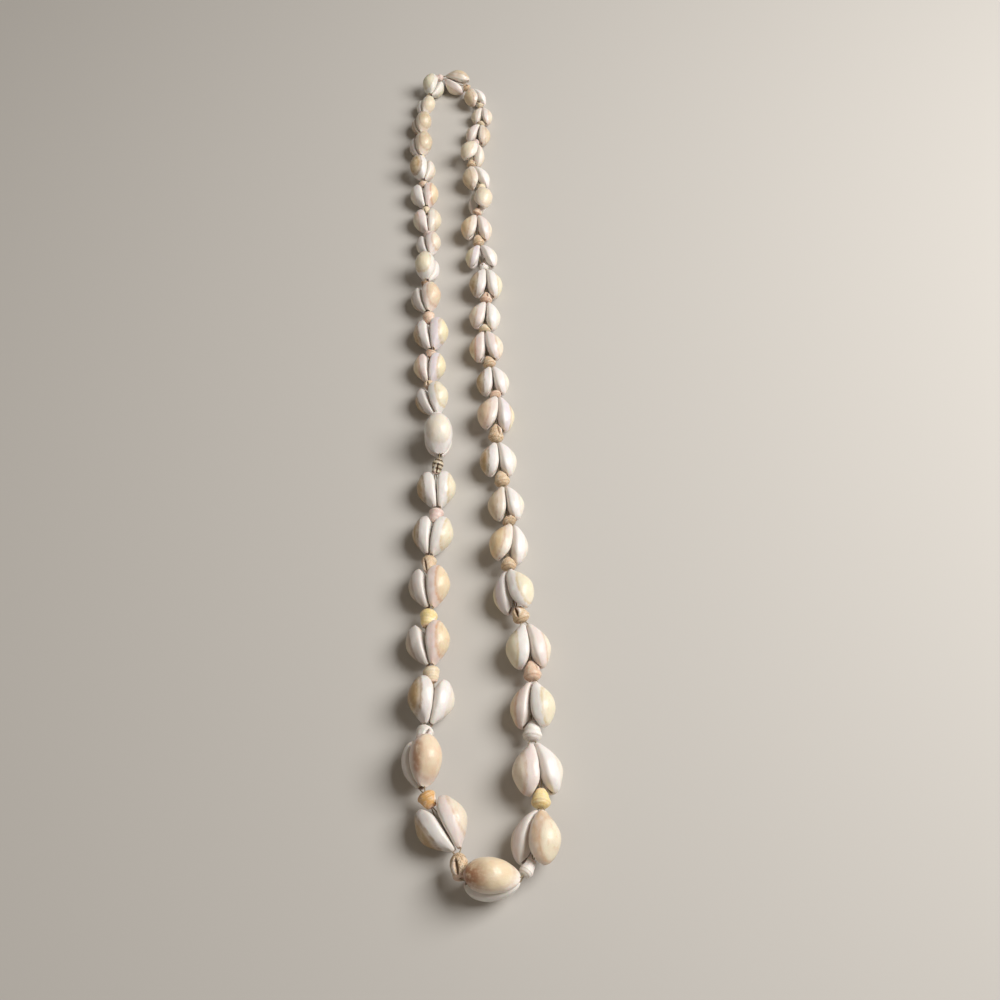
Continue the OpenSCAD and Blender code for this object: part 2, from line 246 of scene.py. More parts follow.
def cornerOf(run, degrees):
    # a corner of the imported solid, for the places that are worked out from it
    share, rise, up = outlineShare(run), riseAt(run), math.sin(math.radians(degrees))
    back = (1 - rise) * share ** endPower("hump", run) * up
    lift = back if up > 0 else -(rise - baseRise(run)) * math.sqrt(-up)
    return Vector((
        run * cowrie["length"] / 2,
        cowrie["height"] * (rise + lift),
        math.cos(math.radians(degrees)) * share * cowrie["width"] / 2,
    ))


# The solid has two end corners, and five rings of twelve between them
solidCorners = [cornerOf(-1, 90), cornerOf(1, 90)] + [
    cornerOf(-math.cos(math.radians(30 * k)), 30 * s) for k in range(1, 6) for s in range(12)
]


def smoothRun():
    # a closed smooth curve through the run's points, in short steps
    points = [Vector((x, y, 0)) for x, y in runPoints]
    count, steps = len(points), string["span steps"]
    run = []
    for k in range(count):
        a, b, c, d = (points[(k + j) % count] for j in (-1, 0, 1, 2))
        for s in range(steps):
            t = s / steps
            run.append(0.5 * (2 * b + (c - a) * t + (2 * a - 5 * b + 4 * c - d) * t * t
                              + (3 * b - a - 3 * c + d) * t * t * t))
    return run


def jointsOn(run):
    # the joints after the pairs, on the run scaled to the length of what is strung on it
    marks = [0.0]
    for k in range(len(run)):
        marks.append(marks[-1] + (run[(k + 1) % len(run)] - run[k]).length)
    reached, total = [], 0.0
    for pair in pairs:
        total += (cowrie["length"] * pair["size"] + spacer["length"] * pair["shown"]
                  + string["bead gap"])
        reached.append(total)
    scale = total / marks[-1]
    joints = []
    for distance in reached:
        d = distance / scale
        k = min(sum(1 for m in marks if m <= d) - 1, len(run) - 1)
        t = (d - marks[k]) / (marks[k + 1] - marks[k])
        joints.append(scale * (run[k] * (1 - t) + run[(k + 1) % len(run)] * t))
    return joints


def seatPair(pair, joint):
    # sets two shells base to base behind a joint, resting on the table, and returns the
    # corners of their solids
    leaned = [turned(pair["size"] * p, -pair["lean"], "Z") for p in solidCorners]
    pair["seat"] = string["base gap"] / 2 - min(p.y for p in leaned)
    pair["tail"] = max(p.x for p in leaned)
    pair["free"] = min(p.x for p in leaned)
    seated = [
        turned(p + Vector((0, pair["seat"], 0)), pair["roll"] + side, "X")
        for side in (0, 180) for p in leaned
    ]
    lift = -min(p.z for p in seated)
    pair["centre"] = (joint + Vector((0, 0, lift))
                      - (string["bead gap"] / 2 + pair["tail"]) * ahead(pair["heading"]))
    return [turned(p, pair["heading"], "Z") + pair["centre"] for p in seated]


def placePairs():
    # by the same rules as in the part's source, and then the necklace is brought to the middle
    joints = jointsOn(smoothRun())
    corners = []
    for i, pair in enumerate(pairs):
        step = joints[i] - joints[i - 1]
        pair["heading"] = math.degrees(math.atan2(step.y, step.x)) + pair["turn"]
        corners += seatPair(pair, joints[i])
    low = Vector((min(p.x for p in corners), min(p.y for p in corners), 0))
    high = Vector((max(p.x for p in corners), max(p.y for p in corners), 0))
    for pair in pairs:
        pair["centre"] -= (low + high) / 2


def slant(direction, pair):
    # 0 along the pair, and 1 square to it
    return direction.normalized().cross(ahead(pair["heading"])).length


def halfOpening(pair, x):
    # from the middle of a pair to one of its bases, at a place along it
    tilt = math.radians(pair["lean"])
    run = max(2 * x / (cowrie["length"] * pair["size"]), -1)
    return (pair["seat"] - x * math.sin(tilt)
            + cowrie["height"] * pair["size"] * baseRise(run) * math.cos(tilt))


def placeSpacer(pair, behind):
    # from the tails of the pair behind into the open end of its own pair
    tails = behind["centre"] + (string["bead gap"] / 2 + behind["tail"]) * ahead(behind["heading"])
    opening = pair["centre"] + pair["free"] * ahead(pair["heading"])
    loss = 1 - spacer["slant loss"] * slant(opening - tails, pair)
    reach = spacer["tip reach"] * pair["size"] * loss
    tip = opening + reach * ahead(pair["heading"])
    direction = (tip - tails).normalized()
    radius = spacer["width"] * pair["girth"] / 2
    gap = string["bead gap"] / 2 + spacer["bend share"] * radius * slant(direction, behind)
    start = tails + direction * gap
    aside = slant(direction, pair)
    inside = max(reach, 0)
    wanted = radius * spacer["tip share"]
    deepest = pair["free"] + inside + wanted * aside * spacer["swing share"]
    neckRoom = halfOpening(pair, pair["free"]) - string["tip gap"] - inside * aside
    pair.update({
        "reach": inside, "tip": tip, "direction": direction, "radius": radius,
        "start": start, "spacer length": (tip - start).length,
        "tip radius": min(halfOpening(pair, deepest) - string["tip gap"], wanted),
        "neck radius": min(neckRoom, radius * spacer["neck share"]),
    })


placePairs()
for i, pair in enumerate(pairs):
    placeSpacer(pair, pairs[i - 1])
print("placed", len(pairs), "pairs")

# How the cowries are coloured: the side, the ring round the back with its strength, the
# back, and how high up the back the ring lies
cowrieTones = {
    "porcelain": (paint(240, 234, 230), paint(212, 190, 158, 0.40), paint(238, 230, 216), 0.50),
    "lilac": (paint(230, 220, 223), paint(204, 176, 124, 0.75), paint(238, 226, 188), 0.42),
    "rose": (paint(232, 211, 202), paint(212, 158, 110, 0.80), paint(234, 212, 176), 0.36),
    "blush": (paint(238, 223, 216), paint(208, 174, 134, 0.70), paint(236, 222, 202), 0.44),
    "honey": (paint(234, 219, 200), paint(200, 150, 102, 0.60), paint(232, 204, 160), 0.34),
    # This tone's ring and back are darker, partly the shell's own olive tint and partly painted shade
    "shaded olive": (paint(236, 230, 225), paint(150, 116, 74, 0.80), paint(186, 155, 111), 0.42),
    "peach": (paint(232, 216, 203), paint(204, 156, 120, 0.65), paint(227, 200, 170), 0.36),
    "apricot": (paint(226, 208, 194), paint(200, 150, 112, 0.30), paint(234, 208, 178), 0.30),
    "burnt": (paint(236, 221, 202), paint(214, 178, 138, 0.45), paint(234, 212, 178), 0.26),
    "butter": (paint(236, 231, 225), paint(214, 188, 130, 0.75), paint(236, 226, 199), 0.42),
    "cream": (paint(234, 222, 206), paint(202, 170, 126, 0.45), paint(232, 218, 193), 0.38),
    "sand": (paint(226, 209, 188), paint(178, 144, 106, 0.60), paint(216, 195, 164), 0.40),
    "mint": (paint(228, 225, 213), paint(198, 184, 140, 0.55), paint(226, 220, 194), 0.44),
    # This tone is greyer and darker, partly the shell's own tint and partly painted shade
    "shaded ash": (paint(220, 211, 204), paint(156, 126, 98, 0.65), paint(206, 189, 166), 0.44),
    "toffee": (paint(220, 190, 158), paint(206, 160, 116, 0.65), paint(236, 222, 196), 0.40),
    "umber": (paint(196, 171, 146), paint(124, 90, 62, 0.80), paint(172, 138, 106), 0.40),
}

# A darker stain sits on two of the backs: its place on the shell, how far it reaches across,
# the share of that where it is full, how much less it falls off along the shell, and its strength
stains = {
    "burnt": {"place": (-0.95, 0.45, 0.30), "reach": 1.15, "full": 0.25, "run": 0.9, "strength": 0.9},
    "apricot": {"place": (0.0, 0.45, 0.85), "reach": 0.5, "full": 0.25, "run": 0.3, "strength": 0.68},
}

# How the spacers are coloured: the body, and the specks, lines or stripes on it
spacerTones = {
    "peach": {"body": paint(232, 200, 174), "mark": paint(202, 150, 114, 0.35), "stripes": 0.0},
    "cream": {"body": paint(234, 216, 184), "mark": paint(208, 172, 126, 0.30), "stripes": 0.0},
    "tan": {"body": paint(220, 192, 156), "mark": paint(158, 116, 76, 0.40), "stripes": 0.0},
    "amber": {"body": paint(228, 180, 114), "mark": paint(200, 138, 78, 0.35), "stripes": 0.0},
    "lemon": {"body": paint(248, 224, 158), "mark": paint(220, 178, 106, 0.30), "stripes": 0.0},
    "chalk": {"body": paint(244, 238, 232), "mark": paint(198, 180, 160, 0.30), "stripes": 0.0},
    "pink": {"body": paint(232, 208, 200), "mark": paint(202, 160, 146, 0.35), "stripes": 0.0},
    "brown": {"body": paint(182, 142, 104), "mark": paint(112, 78, 50, 0.50), "stripes": 0.0},
    "speckled": {"body": paint(220, 190, 152), "mark": paint(116, 84, 50, 0.90), "stripes": 0.0},
    "striped": {"body": paint(222, 206, 176), "mark": paint(92, 72, 50, 0.80), "stripes": 1.0},
}


def roundedAcross(degrees):
    # across and up at an angle round a cowrie: a round back over a flat base
    c, s = math.cos(math.radians(degrees)), math.sin(math.radians(degrees))
    if s >= -1e-6:
        return c, s
    power, reach = cowrie["base edge"], 1.2  # the reach starts as a guess
    for _ in range(6):  # closes in on abs(c * reach) ** power + (s * reach) ** 4 = 1
        over = abs(c * reach) ** power + (s * reach) ** 4 - 1
        slope = (power * abs(c * reach) ** power + 4 * (s * reach) ** 4) / reach
        reach -= over / slope
    return c * reach, s * reach


def cutSlit(spot, run, step, across, up):
    # sinks the slit into the base, with teeth on every second step along it and a canal at each
    # end, and returns the new place and how far it lies in the cut, from 0 to 1
    opened = 1.0  # below, and round the free end, where the canal comes out
    if up >= 0:
        opened = smooth(*cowrie["canal out"], -run) * (1 - smooth(*cowrie["canal up"], up))
    if opened == 0:
        return spot, 0.0
    ends = smooth(*cowrie["canal along"], abs(run))
    tooth = cowrie["teeth"][step % 2]
    width = cowrie["slit"] * (tooth + (1 - tooth) * ends) * (1 - ends) + cowrie["canal"] * ends
    low, high = cowrie["slit sides"]
    cut = opened * (1 - smooth(low * width, high * width, abs(spot.z)))
    focus = run * cowrie["slit focus"] * cowrie["length"] / 2 * (1 - ends)
    inward = Vector((focus - spot.x, riseAt(run) * cowrie["height"] - spot.y, 0)).normalized()
    spot = spot + inward * cut * cowrie["slit depth"] * (1 - cowrie["canal shallower"] * ends)
    bend = cowrie["slit bend"] * (run * run - cowrie["bend level"]) * (1 - across * across)
    spot.z += bend * min(up, 0) ** 2
    return spot, cut


def stainAt(tone, place):
    # how much of a tone's stain, if it has one, lies at a place on the shell
    if tone not in stains:
        return 0.0
    stain = stains[tone]
    gap = Vector(place) - Vector(stain["place"])
    gap = Vector((gap.x * stain["run"], gap.y, gap.z)).length
    return stain["strength"] * (1 - smooth(stain["full"] * stain["reach"], stain["reach"], gap))


def shapeCowrie(verts, layers, tone, seed):
    side, ring, back, ringHeight = cowrieTones[tone]
    ringHeight += random.uniform(*cowrie["ring change"])
    taper = cowrie["tail taper"] * random.uniform(*cowrie["taper change"])
    plump = random.uniform(*cowrie["plump change"])
    drift = Vector([seed * n for n in cowrie["lump drift"]])
    for v in verts:
        run = v.co.z
        turn = halfTurn(math.degrees(math.atan2(v.co.x, v.co.y)) + 90)  # from the base's middle
        across, up = roundedAcross(crowd(turn, cowrie["base crowding"]) - 90)
        share, rise = outlineShare(run), riseAt(run)
        slim = 1 - taper * max(run, 0) ** cowrie["taper power"]
        height = share ** endPower("back", run) * max(up, 0) * slim
        if up > 0:
            lift = rise + (1 - rise) * height * plump
        else:
            lift = rise + (rise - baseRise(run)) * up
        spot = Vector((
            run * cowrie["length"] / 2,
            cowrie["height"] * lift,
            across * share * slim * cowrie["width"] / 2,
        ))
        step = round(math.acos(clamp(run, -1, 1)) / math.pi * cowrie["along"])
        spot, cut = cutSlit(spot, run, step, across, up)
        # the crease that the ring lies in, and the shell's own lumps
        outward = Vector((0, up, across)).normalized()
        if up > 0:
            spot -= outward * cowrie["crease"] * bump(height - ringHeight, cowrie["crease width"])
        lump = noise.noise(spot / cowrie["lump size"] + drift) - cowrie["lump level"]
        spot += outward * cowrie["lumps"] * lump
        if run > pole:  # the hole in the tail
            spot.x -= cowrie["hole depth"]
            cut = 1.0
        place = (run, height, across * share)
        v.co = spot
        v[layers["place"]] = place
        v[layers["side"]] = side
        v[layers["ring"]] = ring
        v[layers["back"]] = back[:3] + (ringHeight,)
        v[layers["marks"]] = (cut, stainAt(tone, place), smooth(*cowrie["base tone"], up), seed)


def pairPlace(pair, side):
    return (
        Matrix.Scale(mm, 4) @ Matrix.Translation(pair["centre"])
        @ Matrix.Rotation(math.radians(pair["heading"]), 4, "Z")
        @ Matrix.Rotation(math.radians(pair["roll"] + side), 4, "X")
        @ Matrix.Translation((0, pair["seat"], 0))
        @ Matrix.Rotation(-math.radians(pair["lean"]), 4, "Z")
    )


def finishPiece(base, name, material, node):
    for face in base.faces:
        face.smooth = True
    mesh = bpy.data.meshes.new(name)
    base.to_mesh(mesh)
    base.free()
    mesh.materials.append(material)
    piece = bpy.data.objects.new(name, mesh)
    bpy.context.scene.collection.objects.link(piece)
    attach(piece, "root")
    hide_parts(node)


class Wire:  # a socket that takes part in sums
    def __init__(self, finish, socket):
        self.finish = finish
        self.socket = socket

    def sum(self, operation, *values):
        return self.finish.node("ShaderNodeMath", {"operation": operation}, dict(enumerate(values)))

    def __add__(self, other):
        return self.sum("ADD", self, other)

    def __radd__(self, other):
        return self.sum("ADD", other, self)

    def __sub__(self, other):
        return self.sum("SUBTRACT", self, other)

    def __rsub__(self, other):
        return self.sum("SUBTRACT", other, self)

    def __mul__(self, other):
        return self.sum("MULTIPLY", self, other)

    def __rmul__(self, other):
        return self.sum("MULTIPLY", other, self)

    def __abs__(self):
        return self.sum("ABSOLUTE", self)

    def sine(self):
        return self.sum("SINE", self)


class Finish:  # one material and the nodes in it
    def __init__(self, name, constants):
        self.material = bpy.data.materials.new(name)
        self.material.use_nodes = True
        self.tree = self.material.node_tree
        self.shader = self.tree.nodes["Principled BSDF"]
        for key, value in constants.items():
            self.set(key, value)

    def feed(self, socket, value):
        if isinstance(value, Wire):
            self.tree.links.new(value.socket, socket)
        else:
            socket.default_value = value

    def set(self, name, value):
        self.feed(self.shader.inputs[name], value)

    def node(self, kind, settings, sockets, output=0):
        # inputs go by name or by number, and an output too
        made = self.tree.nodes.new(kind)
        for key, value in settings.items():
            setattr(made, key, value)
        live = [s for s in made.inputs if s.enabled]
        for key, value in sockets.items():
            named = [s for s in live if s.name == key]
            self.feed(named[0] if named else live[key], value)
        outs = [s for s in made.outputs if s.enabled]
        return Wire(self, outs[output] if isinstance(output, int) else made.outputs[output])

    def attribute(self, name, output="Color"):
        return self.node("ShaderNodeAttribute", {"attribute_name": name}, {}, output)

    def parts(self, vector):
        return [self.node("ShaderNodeSeparateXYZ", {}, {0: vector}, n) for n in range(3)]

    def step(self, value, low, high):
        return self.node("ShaderNodeMapRange", {"interpolation_type": "SMOOTHSTEP"},
                         {"Value": value, "From Min": low, "From Max": high})

    def hill(self, value, width):  # 1 where the value is 0, and 0 past the width
        return 1 - self.step(abs(value), 0.0, width)

    def mix(self, share, first, second):
        return self.node("ShaderNodeMix", {"data_type": "RGBA"},
                         {"Factor": share, "A": first, "B": second})

    def coat(self, below, value, colour, low, high, amount):
        # lays a colour where the value rises from low to high
        return self.mix(self.step(value, low, high) * amount, below, colour)

    def grain(self, place, seed, scale, detail, rough):
        return self.node("ShaderNodeTexNoise", {"noise_dimensions": "4D"},
                         {"Vector": place, "W": seed, "Scale": scale, "Detail": detail,
                          "Roughness": rough})

    def stretch(self, place, shares):
        return self.node("ShaderNodeVectorMath", {"operation": "MULTIPLY"}, {0: place, 1: shares})

    def relief(self, height, distance):
        self.set("Normal", self.node("ShaderNodeBump", {}, {"Height": height, "Distance": distance}))


# The cowries' glaze. A grain has its scale, detail and roughness. A coat has its colour,
# where on its grain it starts and is full, and its amount.
glaze = {
    "shader": {"IOR": 1.5, "Coat Weight": 0.3, "Coat Roughness": 0.12,
               "Subsurface Weight": 0.12, "Subsurface Scale": 0.0012},
    "cloud": (1.6, 3, 0.55), "patch": (3.4, 4, 0.6), "streak": (1.0, 3, 0.6), "fine": (22, 3, 0.6),
    "streak stretch": (1.2, 7, 7),
    "white clouds": (paint(246, 243, 240), 0.42, 0.68, 0.45),
    "rosy streaks": (paint(226, 208, 204), 0.5, 0.72, 0.35),
    "straw clouds": (paint(246, 234, 208), 0.35, 0.7, 0.5),
    "ring patches": (0.52, 0.7), "patch amount": 0.42,
    "back from": (-0.12, 0.3), "ring waver": 0.17, "ring lift": 0.03, "ring width": 0.15,
    "ring least": 0.4, "ring breaks": (0.8, 1.15), "ring amount": 0.85,
    "base colour": paint(240, 234, 226), "base amount": 0.6,
    "stain colour": paint(158, 98, 60), "stain edge": (0.2, 0.6),
    "end tips": (paint(240, 226, 216), 0.88, 1.0, 0.5),
    "pits": (paint(170, 140, 104), 0.58, 0.78, 0.24),
    # painted shade: a dark colour laid into the slit and the tail hole, where shade falls
    "painted slit shade": (paint(96, 66, 46), 0.25, 0.9, 0.85),
    "roughness": 0.36, "patch roughness": 0.18, "pit roughness": 0.1, "pits from": (0.4, 0.7),
    "pit relief": 0.35, "streak relief": 0.4, "relief": 0.00018,
}


def cowrieFinish():
    f = Finish("cowrieGlaze", glaze["shader"])
    place = f.attribute("shellPlace", "Vector")
    seed = f.attribute("shellMarks", "Alpha")
    cut, worn, base = f.parts(f.attribute("shellMarks"))
    run, height, _ = f.parts(place)
    side, ring, back = (f.attribute(n) for n in ("sideTone", "ringTone", "backTone"))
    ringStrength = f.attribute("ringTone", "Alpha")
    ringHeight = f.attribute("backTone", "Alpha")

    # each grain starts from a number of its own
    cloud = f.grain(place, seed, *glaze["cloud"])
    patch = f.grain(place, seed + 11, *glaze["patch"])
    streak = f.grain(f.stretch(place, glaze["streak stretch"]), seed + 23, *glaze["streak"])
    fine = f.grain(place, seed + 31, *glaze["fine"])

    # pale sides below the ring and a warmer back above it, with the ring's line between them
    level = height + (patch - 0.5) * glaze["ring waver"] - ringHeight
    pale = f.coat(side, cloud, *glaze["white clouds"])
    pale = f.coat(pale, streak, *glaze["rosy streaks"])
    warm = f.coat(back, cloud, *glaze["straw clouds"])
    patches = f.step(patch, *glaze["ring patches"]) * ringStrength * glaze["patch amount"]
    warm = f.mix(patches, warm, ring)
    body = f.mix(f.step(level, *glaze["back from"]), pale, warm)
    breaks = f.step(patch + streak, *glaze["ring breaks"])
    line = f.hill(level - glaze["ring lift"], glaze["ring width"])
    line = line * (glaze["ring least"] + (1 - glaze["ring least"]) * breaks)
    body = f.mix(line * ringStrength * glaze["ring amount"], body, ring)
    body = f.mix(base * glaze["base amount"], body, glaze["base colour"])
    body = f.mix(worn * f.step(patch, *glaze["stain edge"]), body, glaze["stain colour"])
    body = f.coat(body, abs(run), *glaze["end tips"])
    body = f.coat(body, fine, *glaze["pits"])
    # painted shade darkens the slit and the tail hole
    body = f.coat(body, cut, *glaze["painted slit shade"])
    f.set("Base Color", body)
    pitted = f.step(fine, *glaze["pits from"]) * glaze["pit roughness"]
    f.set("Roughness", glaze["roughness"] + glaze["patch roughness"] * patch + pitted)
    f.relief(fine * glaze["pit relief"] + streak * glaze["streak relief"] + patch, glaze["relief"])
    return f.material


# The spacers' surface, with grains and coats as above
snail = {
    "shader": {"IOR": 1.5, "Coat Weight": 0.12, "Coat Roughness": 0.25,
               "Subsurface Weight": 0.1, "Subsurface Scale": 0.0008},
    "cloud": (2.2, 3, 0.55), "speck": (7.5, 3, 0.6), "fine": (26, 3, 0.6),
    "cream clouds": (paint(244, 234, 218), 0.4, 0.65, 0.4),
    "specks": (0.52, 0.64), "bands": (0.0, 0.5), "band count": 24,
    "band speckle": 6, "band waver": 4,
    "tip blush": (paint(240, 208, 196), 0.8, 1.0, 0.5),
    "suture amount": 0.55, "lip colour": paint(243, 236, 228), "lip amount": 0.8,
    "mouth shade": (paint(104, 72, 50), 0.2, 0.8, 0.75),
    "fine marks": (0.6, 0.8), "fine amount": 0.2,
    "roughness": 0.38, "speck roughness": 0.2,
    "cord count": 40, "cord relief": 0.22, "fine relief": 0.5, "relief": 0.00016,
}


def spacerFinish():
    f = Finish("snailShell", snail["shader"])
    place = f.attribute("shellPlace", "Vector")
    body = f.attribute("bodyTone")
    mark = f.attribute("markTone")
    amount = f.attribute("markTone", "Alpha")
    stripes = f.attribute("bodyTone", "Alpha")
    mouth, lip, suture = f.parts(f.attribute("shellMarks"))
    seed = f.attribute("shellMarks", "Alpha")
    cords, share, _ = f.parts(f.attribute("shellLines"))

    cloud = f.grain(place, seed, *snail["cloud"])
    speck = f.grain(place, seed + 7, *snail["speck"])
    fine = f.grain(place, seed + 19, *snail["fine"])
    ridges = (cords * snail["cord count"]).sine()
    waver = speck * snail["band speckle"] + cloud * snail["band waver"]
    bands = f.step((cords * snail["band count"] + waver).sine(), *snail["bands"])

    tone = f.coat(body, cloud, *snail["cream clouds"])
    tone = f.mix(f.step(speck, *snail["specks"]) * amount, tone, mark)
    tone = f.mix(bands * stripes, tone, mark)
    tone = f.coat(tone, share, *snail["tip blush"])
    tone = f.mix(suture * snail["suture amount"], tone, mark)
    tone = f.mix(lip * snail["lip amount"], tone, snail["lip colour"])
    tone = f.coat(tone, mouth, *snail["mouth shade"])
    tone = f.mix(f.step(fine, *snail["fine marks"]) * snail["fine amount"], tone, mark)
    f.set("Base Color", tone)
    f.set("Roughness", snail["roughness"] + snail["speck roughness"] * speck)
    ridged = ridges * snail["cord relief"] * (1 - mouth)
    f.relief(ridged + fine * snail["fine relief"] + cloud, snail["relief"])
    return f.material


cotton = {
    "shader": {"Sheen Weight": 0.3, "Sheen Roughness": 0.5},
    "fibre": (2600, 3, 0.6), "fibre steps": (0.35, 0.7),
    "dark": paint(126, 104, 74), "light": paint(196, 178, 142),
    "roughness": 0.82, "fibre roughness": 0.1, "relief": 0.0001,
}


def threadFinish():
    f = Finish("twistedCotton", cotton["shader"])
    place = f.node("ShaderNodeTexCoord", {}, {}, "Object")
    fibre = f.grain(place, 0.0, *cotton["fibre"])
    f.set("Base Color", f.mix(f.step(fibre, *cotton["fibre steps"]), cotton["dark"], cotton["light"]))
    f.set("Roughness", cotton["roughness"] + cotton["fibre roughness"] * fibre)
    f.relief(fibre, cotton["relief"])
    return f.material


def makeCowries(material):
    for i, pair in enumerate(pairs):
        base = bmesh.new()
        layers = {
            "place": base.verts.layers.float_vector.new("shellPlace"),
            "side": base.verts.layers.float_color.new("sideTone"),
            "ring": base.verts.layers.float_color.new("ringTone"),
            "back": base.verts.layers.float_color.new("backTone"),
            "marks": base.verts.layers.float_color.new("shellMarks"),
        }
        for side, tone in ((0, pair["first"]), (180, pair["second"])):
            shell = bmesh.ops.create_uvsphere(
                base, u_segments=cowrie["around"], v_segments=cowrie["along"], radius=1)["verts"]
            shapeCowrie(shell, layers, tone, i * 2 + side / 180 + 1)  # each shell's own number
            sized = pairPlace(pair, side) @ Matrix.Scale(pair["size"], 4)
            bmesh.ops.transform(base, matrix=sized, verts=shell)
        name = "cowrie_pair_%02d" % (i + 1)
        finishPiece(base, name + "_shells", material, name)


def along(points, t):
    # a smooth curve through points of (place, value), in order of place
    k = max(0, min(len(points) - 2, sum(1 for p in points if p[0] <= t) - 1))
    (x0, y0), (x1, y1) = points[k], points[k + 1]
    before = points[max(k - 1, 0)]
    after = points[min(k + 2, len(points) - 1)]
    m0 = (y1 - before[1]) / (x1 - before[0])
    m1 = (after[1] - y0) / (after[0] - x0)
    u, w = clamp((t - x0) / (x1 - x0)), x1 - x0
    return (y0 * (1 + 2 * u) * (1 - u) ** 2 + m0 * w * u * (1 - u) ** 2
            + y1 * u * u * (3 - 2 * u) + m1 * w * u * u * (u - 1))


def spacerRadius(pair, widest, body, t):
    # a round dome up to the widest place, then a shoulder, a neck and a rounded tip
    if t < widest:
        return pair["radius"] * math.sqrt(max(0.0, 1 - (1 - t / widest) ** spacer["dome"]))
    place, share = spacer["shoulder"]
    outline = [
        (widest, pair["radius"]),
        (place * body, share * pair["radius"]),
        (min(body, spacer["last neck"]), pair["neck radius"]),
        (1.0, pair["tip radius"]),
    ]
    past = clamp((t - spacer["tip rounded from"]) / (1 - spacer["tip rounded from"]))
    return along(outline, t) * math.sqrt(1 - spacer["tip rounding"] * past ** 2)


def mouthAt(t, turn):
    # how deep in the mouth a place lies, and how high on its lip
    down = clamp((t - spacer["mouth from"]) / (spacer["mouth to"] - spacer["mouth from"]))
    window = 0.0
    if 0 < down < 1:
        window = math.sin(math.pi * down ** spacer["mouth belly"]) ** spacer["mouth fullness"]
    wide = spacer["mouth width"] * window + spacer["mouth least"]
    low, high = spacer["mouth sides"]
    cut = (1 - smooth(low * wide, high * wide, abs(turn))) * smooth(*spacer["mouth ends"], window)
    lip = bump(turn - spacer["lip place"] * wide, spacer["lip width"] * wide) * window
    return cut, lip


def shapeSpacer(verts, layers, pair, seed):
    length = pair["spacer length"]
    body = (length - pair["reach"]) / length
    widest = spacer["widest"] * body
    tone = spacerTones[pair["spacer"]]
    drift = Vector([seed * n for n in spacer["lump drift"]])
    for v in verts:
        t = clamp((1 + v.co.z) / 2)
        turn = halfTurn((math.degrees(math.atan2(v.co.y, v.co.x)) - pair["mouth"]) % 360)
        turn = crowd(turn, spacer["mouth crowding"])
        # the whorls wind up the dome, and the mouth opens down the side of the last one
        phase = spacer["whorls"] * (t / widest) ** spacer["whorl power"] + turn / 360
        groove = bump((phase % 1) - 0.5, spacer["suture width"]) * smooth(*spacer["suture top"], t)
        groove *= 1 - smooth(*spacer["suture end"], t / widest)
        cut, lip = mouthAt(t, turn)
        radius = spacerRadius(pair, widest, body, t)
        radius *= 1 - spacer["suture"] * groove + spacer["lip"] * lip
        radius -= cut * spacer["mouth depth"] * pair["radius"]
        outward = ahead(turn + pair["mouth"])
        if abs(v.co.z) > pole:  # the holes for the thread
            spot = Vector((0, 0, t * length + spacer["hole depth"] * (1 if t < 0.5 else -1)))
            cut = 1.0
        else:
            spot = outward * radius + Vector((0, 0, t * length))
            spot += outward * spacer["lumps"] * noise.noise(spot / spacer["lump size"] + drift)
        v.co = spot
        pattern = outward * spacer["pattern across"]
        v[layers["place"]] = (pattern.x, pattern.y, t * spacer["pattern along"])
        v[layers["body"]] = tone["body"][:3] + (tone["stripes"],)
        v[layers["mark"]] = tone["mark"]
        v[layers["marks"]] = (cut, lip, groove, seed)
        v[layers["lines"]] = (t + turn / 360 * spacer["line slant"], t, 0)


def spacerPlace(pair):
    d = pair["direction"]
    return (
        Matrix.Scale(mm, 4) @ Matrix.Translation(pair["start"])
        @ Matrix.Rotation(math.atan2(d.y, d.x), 4, "Z") @ Matrix.Rotation(math.acos(d.z), 4, "Y")
    )


def makeSpacers(material):
    together = bmesh.new()
    for i, pair in enumerate(pairs):
        base = bmesh.new()
        layers = {
            "place": base.verts.layers.float_vector.new("shellPlace"),
            "body": base.verts.layers.float_color.new("bodyTone"),
            "mark": base.verts.layers.float_color.new("markTone"),
            "marks": base.verts.layers.float_color.new("shellMarks"),
            "lines": base.verts.layers.float_vector.new("shellLines"),
        }
        shell = bmesh.ops.create_uvsphere(
            base, u_segments=spacer["around"], v_segments=spacer["along"], radius=1)["verts"]
        shapeSpacer(shell, layers, pair, i + 101)  # numbered on from the cowries
        bmesh.ops.transform(base, matrix=spacerPlace(pair), verts=shell)
        one = bpy.data.meshes.new("spacer")
        base.to_mesh(one)
        base.free()
        together.from_mesh(one)
        bpy.data.meshes.remove(one)
    finishPiece(together, "spacer_snail_shells", material, "spacer_shells")


def normalOf(pair):
    return turned(turned(Vector((0, 1, 0)), pair["roll"], "X"), pair["heading"], "Z")


def acrossFrom(v, axis):
    return (v - v.dot(axis) * axis).normalized()


def strandPath(hand):
    # one strand of the thread, from each spacer's bore to the tail hole of its cowrie
    offset = (string["thread"] + string["strand gap"]) / 2
    path = []
    for i, pair in enumerate(pairs):
        d = pair["direction"]
        back = acrossFrom(normalOf(pairs[i - 1]), d) * offset * hand
        front = acrossFrom(normalOf(pair), d) * offset * hand
        place = pairPlace(pair, 0 if hand > 0 else 180)
        half = cowrie["length"] * pair["size"] / 2
        bore = cowrie["height"] * pair["size"] * riseAt(1)
        path += [
            pair["start"] + d * spacer["recess"] + back,
            pair["start"] + d * pair["spacer length"] / 2 + acrossFrom(back + front, d) * offset,
            pair["tip"] + d * spacer["tip clearing"] + front,
            place @ Vector((cowrie["bore from"] * half, bore, 0)) / mm,
            place @ Vector((half, bore, 0)) / mm,
        ]
    return path


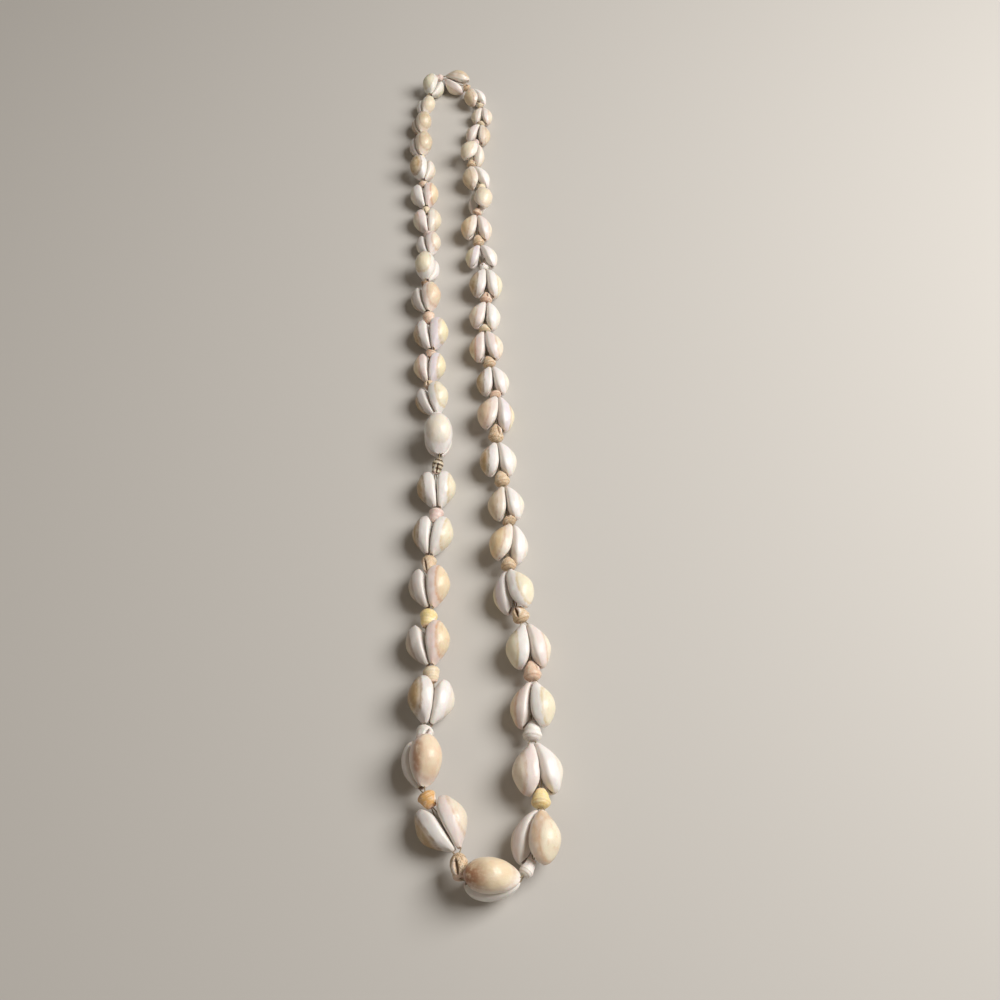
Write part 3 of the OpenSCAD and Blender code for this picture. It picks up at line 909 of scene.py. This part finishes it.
def makeThread(material):
    base = bmesh.new()
    for hand in (1, -1):
        line = bpy.data.curves.new("strand", "CURVE")
        line.dimensions = "3D"
        line.bevel_depth = string["thread"] / 2 * mm
        line.bevel_resolution = 1
        path = strandPath(hand)
        spline = line.splines.new("POLY")
        spline.points.add(len(path) - 1)
        for point, spot in zip(spline.points, path):
            point.co = (*(spot * mm), 1)
        spline.use_cyclic_u = True
        holder = bpy.data.objects.new("strand", line)
        strand = bpy.data.meshes.new_from_object(holder)
        base.from_mesh(strand)
        bpy.data.objects.remove(holder)
        bpy.data.meshes.remove(strand)
        bpy.data.curves.remove(line)
    finishPiece(base, "double_thread", material, "thread")


random.seed(44)
makeCowries(cowrieFinish())
print("made the cowries")
makeSpacers(spacerFinish())
print("made the spacers")
makeThread(threadFinish())
print("made the thread")

# The studio: a plain pale table under soft light, with places and sizes in metres
studio = {
    "table": paint(198, 194, 188), "table size": 4, "table roughness": 0.75,
    "sky": paint(238, 222, 202), "sky strength": 0.14,
    "key": {"place": (0.75, 0.1, 0.85), "size": 0.7, "power": 16, "tone": (1.0, 0.99, 0.975)},
    "fill": {"place": (-0.8, -0.6, 0.9), "size": 1.2, "power": 1.5, "tone": (1.0, 0.93, 0.84)},
}


def makeTable():
    base = bmesh.new()
    bmesh.ops.create_grid(base, x_segments=1, y_segments=1, size=studio["table size"])
    mesh = bpy.data.meshes.new("table")
    base.to_mesh(mesh)
    base.free()
    finish = Finish("paleTable", {"Roughness": studio["table roughness"], "Base Color": studio["table"]})
    mesh.materials.append(finish.material)
    table = bpy.data.objects.new("table", mesh)
    bpy.context.scene.collection.objects.link(table)
    table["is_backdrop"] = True
    table.location.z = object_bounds()[0].z  # the necklace rests on it


def makeLamp(name):
    setting = studio[name]
    lamp = bpy.data.lights.new(name, "AREA")
    lamp.energy = setting["power"]
    lamp.size = setting["size"]
    lamp.color = setting["tone"]
    holder = bpy.data.objects.new(name, lamp)
    bpy.context.scene.collection.objects.link(holder)
    holder.location = setting["place"]
    holder.rotation_euler = (-Vector(setting["place"])).to_track_quat("-Z", "Y").to_euler()


makeTable()
makeLamp("key")
makeLamp("fill")
world = bpy.data.worlds.new("studio")
world.use_nodes = True
world.node_tree.nodes["Background"].inputs["Color"].default_value = studio["sky"]
world.node_tree.nodes["Background"].inputs["Strength"].default_value = studio["sky strength"]
bpy.context.scene.world = world
bpy.context.scene.view_settings.view_transform = "Standard"
print("lit the table")
